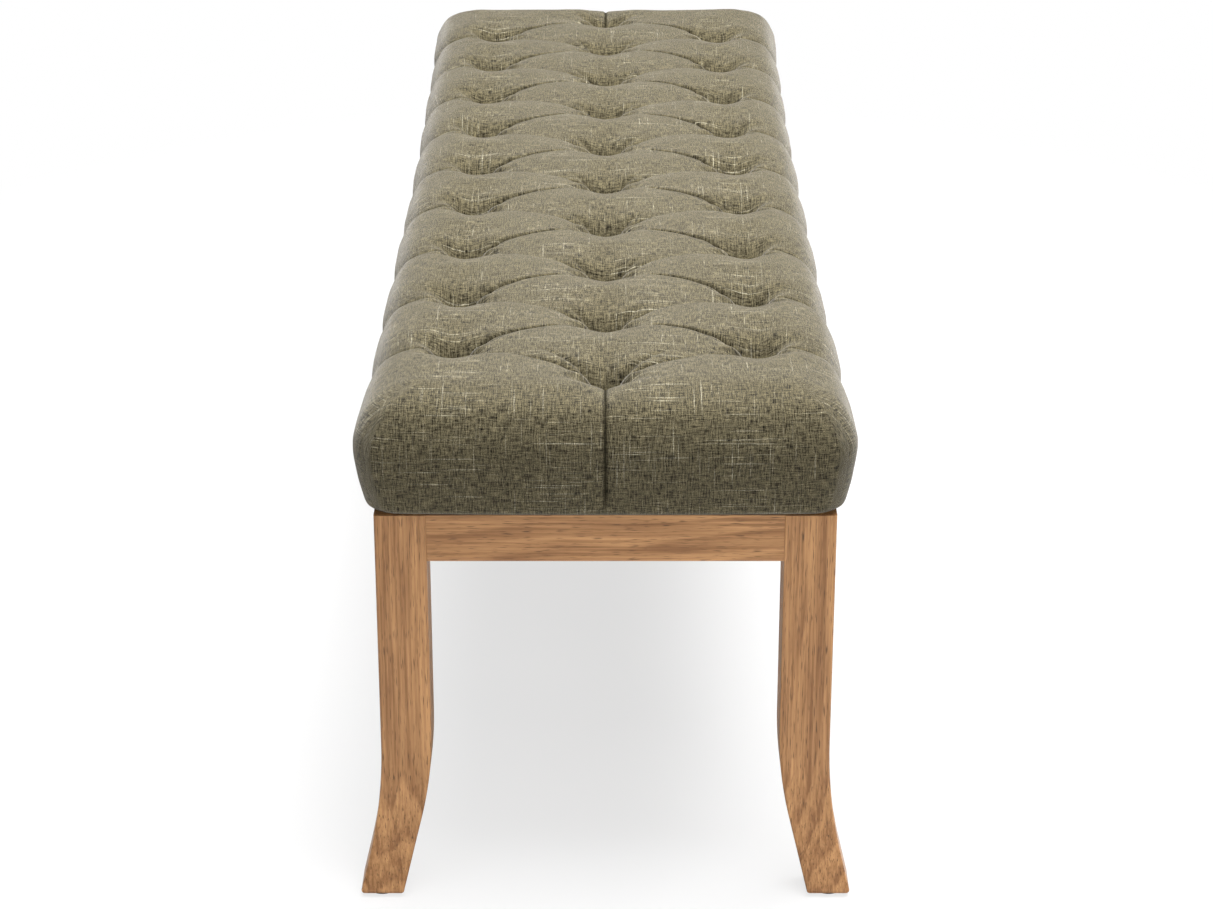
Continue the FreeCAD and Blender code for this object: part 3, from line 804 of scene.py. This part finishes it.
@dataclass
class CushionLayer:
    """One soft layer of the seat, as a closed form.

    Attributes:
        layer: Which layer it is.
        outline: The seat's outline.
        tufting: The seat's tufts.
        cells: Grid cells in half a tuft pitch.
        edge_step: The distance between the rings of the edge.
        inward: How far its surface is inside the cover's.
        floor: The height of its underside.
        hem: The width of the turned-under edge.
        hem_thickness: How far the middle of the underside stands above the hem.
        calm_rings: Rings above the underside over which the tufts' folds die away.
        crowding: How far from a slit the cover's points are crowded to it.
    """

    layer: Layer
    outline: SeatOutline
    tufting: Tufting
    cells: int
    edge_step: float
    inward: float = 0.0
    floor: float = 0.3865
    hem: float = 0.027
    hem_thickness: float = 1.4 * MM
    calm_rings: int = 8
    crowding: float = 8 * MM

    def __post_init__(self) -> None:
        """Works out the flat top's size in whole grid cells, and the edge's profile."""
        self.step_x = self.tufting.half_pitch / self.cells
        self.step_y = self.tufting.row / self.cells
        flat = self.outline.levels[0][1] * MM
        self.count_x = round((self.outline.half_length - flat) / self.step_x)
        self.count_y = round((self.outline.half_depth - flat) / self.step_y)
        self.top_x = self.count_x * self.step_x
        self.top_y = self.count_y * self.step_y
        self.profile = self.outline.profile(self.edge_step, self.inward)

    def build(self) -> bpy.types.Object:
        """Makes the layer's object, with its Cloth map and an attribute of the shade painted into
        its slits, seams, creases and tuft pits.
        """
        mesh = mesh_of(self.layer.value, self._draft())
        draft = np.empty(len(mesh.vertices) * 3)
        mesh.vertices.foreach_get("co", draft)
        draft = draft.reshape(-1, 3)
        points, cloth, shade = self._placed(draft)
        self._map(mesh, cloth)
        mesh.vertices.foreach_set("co", points.ravel())
        # Painted shade: how dark the cloth is painted at each point, where shade falls in its
        # hollows.
        painted_shade_attribute = mesh.attributes.new("fold_and_painted_shade", "FLOAT", "POINT")
        painted_shade_attribute.data.foreach_set("value", shade)
        mesh.polygons.foreach_set("use_smooth", np.ones(len(mesh.polygons), bool))
        mesh.update()
        return placed("seat_" + self.layer.value, mesh)

    def _draft(self) -> bmesh.types.BMesh:
        """A flat top of grid cells with a straight skirt, one unit deep for each ring."""
        bm = bmesh.new()
        bmesh.ops.create_grid(bm, x_segments=2 * self.count_x, y_segments=2 * self.count_y,
                              size=1.0)
        bmesh.ops.scale(bm, vec=(self.top_x, self.top_y, 1.0), verts=bm.verts)
        self._split(bm)
        rim = [e for e in bm.edges if e.is_boundary]
        for _ in range(len(self.profile) + 1):
            made = bmesh.ops.extrude_edge_only(bm, edges=rim)["geom"]
            points = [g for g in made if isinstance(g, bmesh.types.BMVert)]
            bmesh.ops.translate(bm, verts=points, vec=(0.0, 0.0, -1.0))
            rim = [g for g in made if isinstance(g, bmesh.types.BMEdge) and g.is_boundary]
        bmesh.ops.edgeloop_fill(bm, edges=rim)
        bmesh.ops.recalc_face_normals(bm, faces=bm.faces)
        return bm

    def _split(self, bm: bmesh.types.BMesh) -> None:
        """Cuts every cell of the top along the pleat that is nearest to it."""
        centres = np.array([f.calc_center_median() for f in bm.faces])
        a, b = self.tufting.lattice(centres[:, 0], np.abs(centres[:, 1]))
        falling = np.abs(a - np.round(a)) < np.abs(b - np.round(b))
        falling ^= centres[:, 1] < 0
        groups = {True: [], False: []}
        for face, turned in zip(bm.faces, falling.tolist()):
            groups[turned].append(face)
        bmesh.ops.triangulate(bm, faces=groups[False], quad_method="FIXED")
        bmesh.ops.triangulate(bm, faces=groups[True], quad_method="ALTERNATE")

    def _placed(self, draft: np.ndarray) -> tuple[np.ndarray, np.ndarray, np.ndarray]:
        """Moves the draft's points to their places on the layer.

        Args:
            draft: The points of the draft.

        Returns:
            The points, their cloth coordinates and their painted shade.
        """
        x, y = draft[:, 0], draft[:, 1]
        ring = np.round(-draft[:, 2]).astype(int)
        base, normal, cloth = self._base(x, y, ring)
        u, v = cloth.T
        fall = self.tufting.pillows(u, v)
        r, _ = self.tufting.nearest(u, v)
        fall += self.tufting.pits(u, v, self.inward)
        # Painted shade at the bottom of each tuft's pit.
        shade = 0.35 * (1 - ease(3 * MM, 11 * MM, r))
        if self.layer is Layer.COVER:
            crease, crease_shade = self.tufting.creases(u, v)
            fall += crease - self.tufting.texture(u, v)
            shade = np.maximum(shade, crease_shade)
        else:
            d, s = self.tufting.slits(u, v)
            fall += self.tufting.slit_depth * ridge(d, self.crowding - MM) * (s > 0)
            at_seam = np.abs(u) > self.tufting.last + 7 * MM
            fall += 4 * MM * (ridge(r, 24 * MM) + ridge(v, 8 * MM) * at_seam)
        under = np.clip((ring - len(self.profile) + 1) / self.calm_rings + 1, 0, 1)
        fall *= 1 - under
        points = base - normal * fall[:, None]
        top = ring == 0
        points[top, :2] += self._drawn_together(u[top], v[top])
        return points, cloth, shade * (1 - under)

    def _drawn_together(self, u: np.ndarray, v: np.ndarray) -> np.ndarray:
        """How far the top's points are moved in plan, to crowd at the slits and bow the pleats."""
        d, s = self.tufting.slits(u, v)
        near = np.abs(d) < self.crowding
        squeezed = np.sign(d) * np.abs(d) ** 1.5 / math.sqrt(self.crowding)
        move = np.where(near, squeezed - d, 0.0) * ease(0.03, 0.12, s) * (1 - ease(0.8, 0.95, s))
        half, row = self.tufting.half_pitch, self.tufting.row
        moved = np.column_stack([move * row, -move * half * np.sign(v)]) / math.hypot(half, row)
        bow = self.tufting.bow * np.sin(math.pi * np.minimum(np.abs(v) / row, 1.0))
        moved[:, 0] -= bow * (1 - ease(0.59, 0.66, np.abs(u)))
        return moved

    def _base(self, x: np.ndarray, y: np.ndarray,
              ring: np.ndarray) -> tuple[np.ndarray, np.ndarray, np.ndarray]:
        """The smooth seat under the tufts.

        Args:
            x: The draft's places along the bench.
            y: The draft's places across the bench.
            ring: The draft's rings, 0 on the top.

        Returns:
            The points, their normals and their cloth coordinates.
        """
        o, rows = self.outline, self.profile
        last = len(rows) - 1
        inset, height, out, up, run = rows[np.clip(ring, 0, last)].T
        flat = rows[0, 0]
        grown = np.clip(1 - (inset - self.inward) / (flat - self.inward), 0, 1)
        radius = np.maximum(o.corner * np.sin(grown * math.pi / 2), 1e-6)
        end, side = o.half_length - inset - radius, o.half_depth - inset - radius
        along_x, flat_x, turn_x = o.walk(np.abs(x), self.top_x, end, radius)
        along_y, flat_y, turn_y = o.walk(np.abs(y), self.top_y, side, radius)
        on_side = np.abs(y) > self.top_y - 1e-6
        sx, sy = np.sign(x), np.sign(y)
        turn = np.where(on_side, turn_x, math.pi / 2 - turn_y)
        draw = o.draw_in * grown * np.clip(1 - (flat_x / end) ** 2, 0, 1)
        bulge = o.bulge * grown * np.clip(1 - (flat_y / side) ** 2, 0, 1)
        px = np.where(on_side, flat_x, end + bulge) + radius * np.sin(turn)
        py = np.where(on_side, side - draw, flat_y) + radius * np.cos(turn)
        deep = ring > last
        tuck = np.where(deep, self.hem, 0.0)
        px, py = px - tuck * np.sin(turn), py - tuck * np.cos(turn)
        z = o.underside + height
        z = np.where(ring >= last, self.floor, z)
        z = np.where(ring > last + 1, self.floor + self.hem_thickness, z)
        points = np.column_stack([sx * px, sy * py, z])
        normal = np.column_stack([sx * np.sin(turn) * out, sy * np.cos(turn) * out, up])
        run = run + tuck
        cloth = np.column_stack([sx * np.where(on_side, along_x, self.top_x + run),
                                 sy * np.where(on_side, self.top_y + run, along_y)])
        top = ring == 0
        crown = o.underside + o.levels[0][0] * MM - self.inward
        points[top] = np.column_stack([x, y, np.full(len(x), crown)])[top]
        normal[top] = (0.0, 0.0, 1.0)
        cloth[top] = np.column_stack([x, y])[top]
        return points, normal, cloth

    def _map(self, mesh: bpy.types.Mesh, cloth: np.ndarray) -> None:
        """Writes the Cloth map.

        Args:
            mesh: The layer's mesh.
            cloth: The cloth coordinates of the points.
        """
        loops = np.empty(len(mesh.loops), int)
        mesh.loops.foreach_get("vertex_index", loops)
        layer = mesh.uv_layers.new(name="Cloth")
        layer.data.foreach_set("uv", cloth[loops].ravel())


@dataclass
class Seat:
    """The padded seat's soft layers: cover, wadding and foam."""

    outline: SeatOutline = field(default_factory=SeatOutline)
    tufting: Tufting = field(default_factory=Tufting)
    cover_finish: LinenFinish = LinenFinish()

    def build(self) -> None:
        """Builds the soft layers, gives each its finish, and hides the CAD nodes that they stand
        in for.
        """
        parts = (
            (CushionLayer(Layer.COVER, self.outline, self.tufting, 40, 3.2 * MM),
             "tufted_cover", "cover_fabric", 0.8, self.cover_finish),
            (CushionLayer(Layer.WADDING, self.outline, self.tufting, 16, 8 * MM, 3.5 * MM,
                          0.3882, 0.024),
             "wadding", "wadding", 0.7,
             MattFinish("white_wadding", (0.80, 0.80, 0.78), 700.0, 0.5 * MM, 0.95, 0.3)),
            (CushionLayer(Layer.FOAM, self.outline, self.tufting, 12, 10 * MM, 10.5 * MM,
                          0.4005, 0.020),
             "foam_core", "foam", 1.0,
             MattFinish("cream_foam", (0.74, 0.66, 0.46), 1200.0, 0.5 * MM, 0.9)),
        )
        for layer, node, slot, fill, finish in parts:
            piece = layer.build()
            piece.data.materials.append(finish.build())
            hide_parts(node)
            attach(piece, ROOT)
            log.info("%s: %d faces", piece.name, len(piece.data.polygons))


# The wooden frame and what is fixed to it


def dress(names: list[str], finish: Finish) -> None:
    """Gives CAD nodes a finish.

    Args:
        names: The nodes' names.
        finish: The finish of all of them.
    """
    material = finish.build()
    for name in names:
        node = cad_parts[name]
        if not node.material_slots:
            node.data.materials.append(material)
        for slot in node.material_slots:
            slot.material = material
        log.info("%s: %s", name, material.name)


@dataclass
class WoodenFrame:
    """The legs, rails and blocks."""

    ends: tuple = ("front", "rear")
    sides: tuple = ("left", "right")
    light: Colour = (0.455, 0.238, 0.096)
    dark: Colour = (0.195, 0.086, 0.029)
    pore: Colour = (0.060, 0.026, 0.009)

    def build(self) -> None:
        """Dresses every wooden piece with grain along its length."""
        corners = [f"{end}_{side}" for end in self.ends for side in self.sides]
        for i, corner in enumerate(corners):
            dress([f"leg_{corner}"],
                  WoodFinish(f"leg_wood_{corner}", self.light, self.dark, self.pore, Axis.Z,
                             1.2 + 0.5 * i, (0.30 + 0.05 * i, 0.21 - 0.03 * i, 0.0)))
        for i, end in enumerate(self.ends):
            dress([f"end_rail_{end}"],
                  WoodFinish(f"end_rail_wood_{end}", self.light, self.dark, self.pore, Axis.Y,
                             2.2, (-0.66 + 1.38 * i, 0.0, -0.33)))
        for i, side in enumerate(self.sides):
            dress([f"side_rail_{side}"],
                  WoodFinish(f"side_rail_wood_{side}", self.light, self.dark, self.pore, Axis.X,
                             1.0, (0.0, 0.34 - 0.05 * i, -0.30)))
        bare = ((0.62, 0.45, 0.27), (0.44, 0.28, 0.14), (0.28, 0.17, 0.09))
        dress([f"cross_rail_{n}" for n in (1, 2, 3)],
              WoodFinish("bare_cross_rail", *bare, Axis.Y, roughness=0.68, coat=0.0))
        dress([f"corner_block_{corner}" for corner in corners],
              WoodFinish("bare_block", *bare, Axis.Y, 8.0, roughness=0.68, coat=0.0))
        dress(["rail_dowels", "cross_rail_dowels"],
              WoodFinish("dowel_beech", (0.60, 0.42, 0.26), (0.47, 0.30, 0.16),
                         (0.3, 0.18, 0.1), Axis.X, roughness=0.6, coat=0.0))
        dress(["seat_board"], PlyFinish())
        dress([f"foot_glide_{corner}" for corner in corners],
              MattFinish("black_glide", (0.018, 0.018, 0.018)))


@dataclass
class Hardware:
    """The bolts, screws, nails, staples and twine."""

    plated: tuple = ("leg_bolts", "bolt_washers", "bolt_nuts")
    bright: tuple = ("block_screws", "seat_screws", "glide_nails")
    wire: tuple = ("twine_staples", "hem_staples", "dust_cover_staples")

    def build(self) -> None:
        """Dresses the fixings."""
        dress(list(self.plated), MetalFinish("zinc_plate", (0.56, 0.57, 0.58)))
        dress(list(self.bright), MetalFinish("yellow_plate", (0.62, 0.52, 0.30)))
        dress(list(self.wire), MetalFinish("bright_wire", (0.60, 0.60, 0.58), 0.26))
        dress(["tufting_twine"], TwineFinish())


@dataclass
class DustCover:
    """The black cloth stapled under the seat.

    Attributes:
        width: Its width before it is stapled.
        length: Its length before it is stapled.
        bottom: The height of its underside.
        thickness: Its thickness.
        rise: How far it is pulled up between its staples.
    """

    width: float = 0.353
    length: float = 1.390
    bottom: float = 0.38605
    thickness: float = 0.35 * MM
    rise: float = 0.12 * MM

    def build(self) -> None:
        """Builds the cloth as a stretched sheet."""
        bm = bmesh.new()
        bmesh.ops.create_grid(bm, x_segments=140, y_segments=36, size=0.5)
        bmesh.ops.scale(bm, vec=(self.length, self.width, 1.0), verts=bm.verts)
        for vert in bm.verts:
            wave = math.sin(vert.co.x * 61.0) * math.cos(vert.co.y * 83.0)
            vert.co.z = self.bottom + self.rise * (0.5 + 0.5 * wave)
        bmesh.ops.solidify(bm, geom=bm.faces[:], thickness=-self.thickness)
        bmesh.ops.recalc_face_normals(bm, faces=bm.faces)
        mesh = mesh_of("dust_cloth", bm)
        piece = placed("dust_cloth", mesh)
        mesh.materials.append(MattFinish("black_spunbond", (0.022, 0.022, 0.023), 1900.0,
                                         0.15 * MM, 0.85, 0.2).build())
        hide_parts("dust_cover")
        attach(piece, ROOT)
        log.info("%s: %d faces", piece.name, len(mesh.polygons))


# The studio


@dataclass
class Studio:
    """The floor, the lamps, the world and the camera.

    Attributes:
        eye: The camera's place.
        pitch: How far the camera looks down, in degrees.
        lens: The camera's focal length, in millimetres on a 36 mm wide sensor.
        ambient: The strength of the light from all round.
        fade: The distances from the bench between which the floor turns plain white.
        shadow_paleness: The share of plain white in the floor nearest the bench.
    """

    eye: tuple = (3.140, 0.001, 1.4546)
    pitch: float = 22.69
    lens: float = 86.56
    ambient: float = 0.22
    fade: tuple = (0.3, 1.5)
    shadow_paleness: float = 0.66

    def build(self) -> None:
        """Builds the whole studio."""
        self._floor()
        self._world()
        self._lamp("overhead", (0.1, 0.35, 2.55), (0.0, 0.0, 0.45), (2.6, 1.8), 200.0)
        self._lamp("front", (3.4, 0.5, 1.55), (0.5, 0.0, 0.35), (1.8, 1.2), 38.0)
        self._lamp("back", (-2.7, -0.3, 1.9), (-0.3, 0.0, 0.45), (2.0, 1.2), 26.0)
        self._camera()
        bpy.context.scene.view_settings.view_transform = "Standard"

    def _lamp(self, name: str, place: tuple, aim: tuple, size: tuple, power: float) -> None:
        """Adds a soft rectangular lamp.

        Args:
            name: The lamp's name.
            place: Where it stands.
            aim: What it points at.
            size: Its width and height.
            power: Its power, in watts.
        """
        light = bpy.data.lights.new(name, "AREA")
        light.shape = "RECTANGLE"
        light.size, light.size_y = size
        light.energy = power
        lamp = placed(name, light)
        lamp.location = place
        away = lamp.location - type(lamp.location)(aim)
        lamp.rotation_euler = away.to_track_quat("Z", "Y").to_euler()

    def _floor(self) -> None:
        """Adds a large white floor that keeps the bench's shadow and fades to plain white."""
        bm = bmesh.new()
        bmesh.ops.create_grid(bm, x_segments=8, y_segments=8, size=14.0)
        mesh = mesh_of("floor", bm)
        floor = placed("floor", mesh)
        s = Shader("white_floor")
        s.set(Base_Color=(0.70, 0.70, 0.70), Roughness=0.9)
        place = s.node("SeparateXYZ", {0: s.coordinates((0.75, 1.0, 1.0))})
        far = s.length(place.outputs[0], place.outputs[1])
        seen = s.node("LightPath").outputs["Is Camera Ray"]
        plain = s.node("Emission", {"Color": (1.0, 1.0, 1.0), "Strength": 1.0}).outputs[0]
        near, beyond = self.fade
        paleness = s.span(far, near, beyond, (self.shadow_paleness, 1.0))
        mixed = s.node("MixShader", {0: s.math("MULTIPLY", paleness, seen),
                                     1: s.surface.outputs[0], 2: plain})
        output = next(n for n in s.tree.nodes if n.type == "OUTPUT_MATERIAL")
        s.tree.links.new(mixed.outputs[0], output.inputs["Surface"])
        mesh.materials.append(s.material)

    def _world(self) -> None:
        """Lights from all round, and shows plain white to the camera and in reflections."""
        world = bpy.data.worlds.new("white_room")
        bpy.context.scene.world = world
        world.use_nodes = True
        nodes, links = world.node_tree.nodes, world.node_tree.links
        nodes.clear()
        path, seen, clear, level, sky, output = (
            nodes.new("ShaderNode" + kind)
            for kind in ("LightPath", "Math", "Math", "MapRange", "Background", "OutputWorld"))
        seen.operation = clear.operation = "MAXIMUM"
        level.inputs["To Min"].default_value = self.ambient
        level.inputs["To Max"].default_value = 1.0
        sky.inputs["Color"].default_value = (1.0, 1.0, 1.0, 1.0)
        links.new(path.outputs["Is Camera Ray"], seen.inputs[0])
        links.new(path.outputs["Is Glossy Ray"], seen.inputs[1])
        links.new(seen.outputs[0], clear.inputs[0])
        links.new(path.outputs["Is Transmission Ray"], clear.inputs[1])
        links.new(clear.outputs[0], level.inputs["Value"])
        links.new(level.outputs["Result"], sky.inputs["Strength"])
        links.new(sky.outputs[0], output.inputs["Surface"])

    def _camera(self) -> None:
        """Adds the camera at the photograph's view."""
        data = bpy.data.cameras.new("camera")
        data.sensor_fit = "HORIZONTAL"
        data.sensor_width = 36.0
        data.lens = self.lens
        data.clip_end = 60.0
        camera = placed("camera", data)
        camera.location = self.eye
        camera.rotation_euler = (math.radians(90.0 - self.pitch), 0.0, math.radians(90.0))
        bpy.context.scene.camera = camera


def main() -> None:
    """Builds the bench's looks and the studio."""
    logging.basicConfig(level=logging.INFO, format="%(name)s: %(message)s")
    for assembly in (Seat(), WoodenFrame(), Hardware(), DustCover(), Studio()):
        log.info("building %s", type(assembly).__name__)
        assembly.build()


if __name__ == "__main__":
    main()
